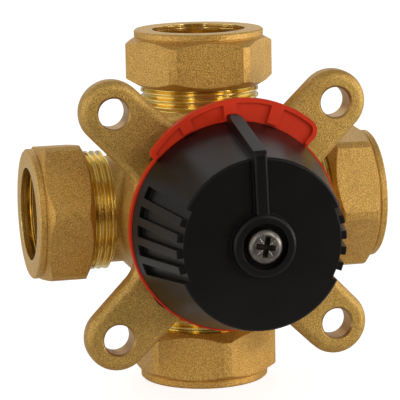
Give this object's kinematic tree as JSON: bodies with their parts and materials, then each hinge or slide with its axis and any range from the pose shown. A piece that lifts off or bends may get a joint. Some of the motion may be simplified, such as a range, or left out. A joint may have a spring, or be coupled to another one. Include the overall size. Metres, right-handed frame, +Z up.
{
  "type": "four-way rotary mixing valve",
  "caption": "Forged brass rotary mixing valve with crossed compression ends, diagonal fixing lugs, a red scale ring and a black pointer knob.",
  "frame": {"origin": "centre of the bottom port's mouth, at the end face of its nut", "axes": "+Z up through the top port, +X through the right port as seen from the knob, and the spindle axis along -Y towards the knob"},
  "size_m": [0.108, 0.0947, 0.108],
  "materials": {
    "forged_brass": "sandblasted forging, machined threads and bores",
    "turned_brass": "turned, bright",
    "black_plastic": "semi-matt moulded",
    "red_plastic": "satin moulded",
    "steel": "plated or stainless, turned",
    "seal_rubber": "smooth",
    "white_plastic": "low-friction washer"
  },
  "bodies": {
    "valve": {"valve_body": "forged_brass", "front_cover": "turned_brass", "cover_o_ring": "seal_rubber", "cover_screws": "steel", "scale_carrier": "black_plastic", "scale_ring": "red_plastic"},
    "control": {"knob": "black_plastic", "knob_screw": "steel", "spindle": "steel", "rotor": "turned_brass", "spindle_o_ring_inner": "seal_rubber", "spindle_o_ring_outer": "seal_rubber", "thrust_washer": "white_plastic", "spindle_clip": "steel"},
    "olive_top_ring": {"olive_top": "turned_brass"},
    "nut_top_hex": {"nut_top": "forged_brass"},
    "olive_right_ring": {"olive_right": "turned_brass"},
    "nut_right_hex": {"nut_right": "forged_brass"},
    "olive_bottom_ring": {"olive_bottom": "turned_brass"},
    "nut_bottom_hex": {"nut_bottom": "forged_brass"},
    "olive_left_ring": {"olive_left": "turned_brass"},
    "nut_left_hex": {"nut_left": "forged_brass"}
  },
  "joints": [
    {"name": "knob_turn", "type": "hinge", "parent": "valve", "child": "control", "pos_m": [0, 0, 0.054], "axis": [0, -1, 0], "range_deg": [-45, 45]},
    {"name": "olive_top_slide", "type": "slide", "parent": "valve", "child": "olive_top_ring", "axis": [0, 0, 1], "range_m": [0, 0.007]},
    {"name": "nut_top_turn", "type": "hinge", "parent": "olive_top_ring", "child": "nut_top_hex", "pos_m": [0, 0, 0.108], "axis": [0, 0, 1], "range_deg": [0, 1260]},
    {"name": "olive_right_slide", "type": "slide", "parent": "valve", "child": "olive_right_ring", "axis": [1, 0, 0], "range_m": [0, 0.007]},
    {"name": "nut_right_turn", "type": "hinge", "parent": "olive_right_ring", "child": "nut_right_hex", "pos_m": [0.054, 0, 0.054], "axis": [1, 0, 0], "range_deg": [0, 1260]},
    {"name": "olive_bottom_slide", "type": "slide", "parent": "valve", "child": "olive_bottom_ring", "axis": [0, 0, -1], "range_m": [0, 0.007]},
    {"name": "nut_bottom_turn", "type": "hinge", "parent": "olive_bottom_ring", "child": "nut_bottom_hex", "pos_m": [0, 0, 0], "axis": [0, 0, -1], "range_deg": [0, 1260]},
    {"name": "olive_left_slide", "type": "slide", "parent": "valve", "child": "olive_left_ring", "axis": [-1, 0, 0], "range_m": [0, 0.007]},
    {"name": "nut_left_turn", "type": "hinge", "parent": "olive_left_ring", "child": "nut_left_hex", "pos_m": [-0.054, 0, 0.054], "axis": [-1, 0, 0], "range_deg": [0, 1260]}
  ],
  "couplings": [
    {"joint": "olive_top_slide", "follows": "nut_top_turn", "m_per_rad": 0.00031831},
    {"joint": "olive_right_slide", "follows": "nut_right_turn", "m_per_rad": 0.00031831},
    {"joint": "olive_bottom_slide", "follows": "nut_bottom_turn", "m_per_rad": 0.00031831},
    {"joint": "olive_left_slide", "follows": "nut_left_turn", "m_per_rad": 0.00031831}
  ]
}
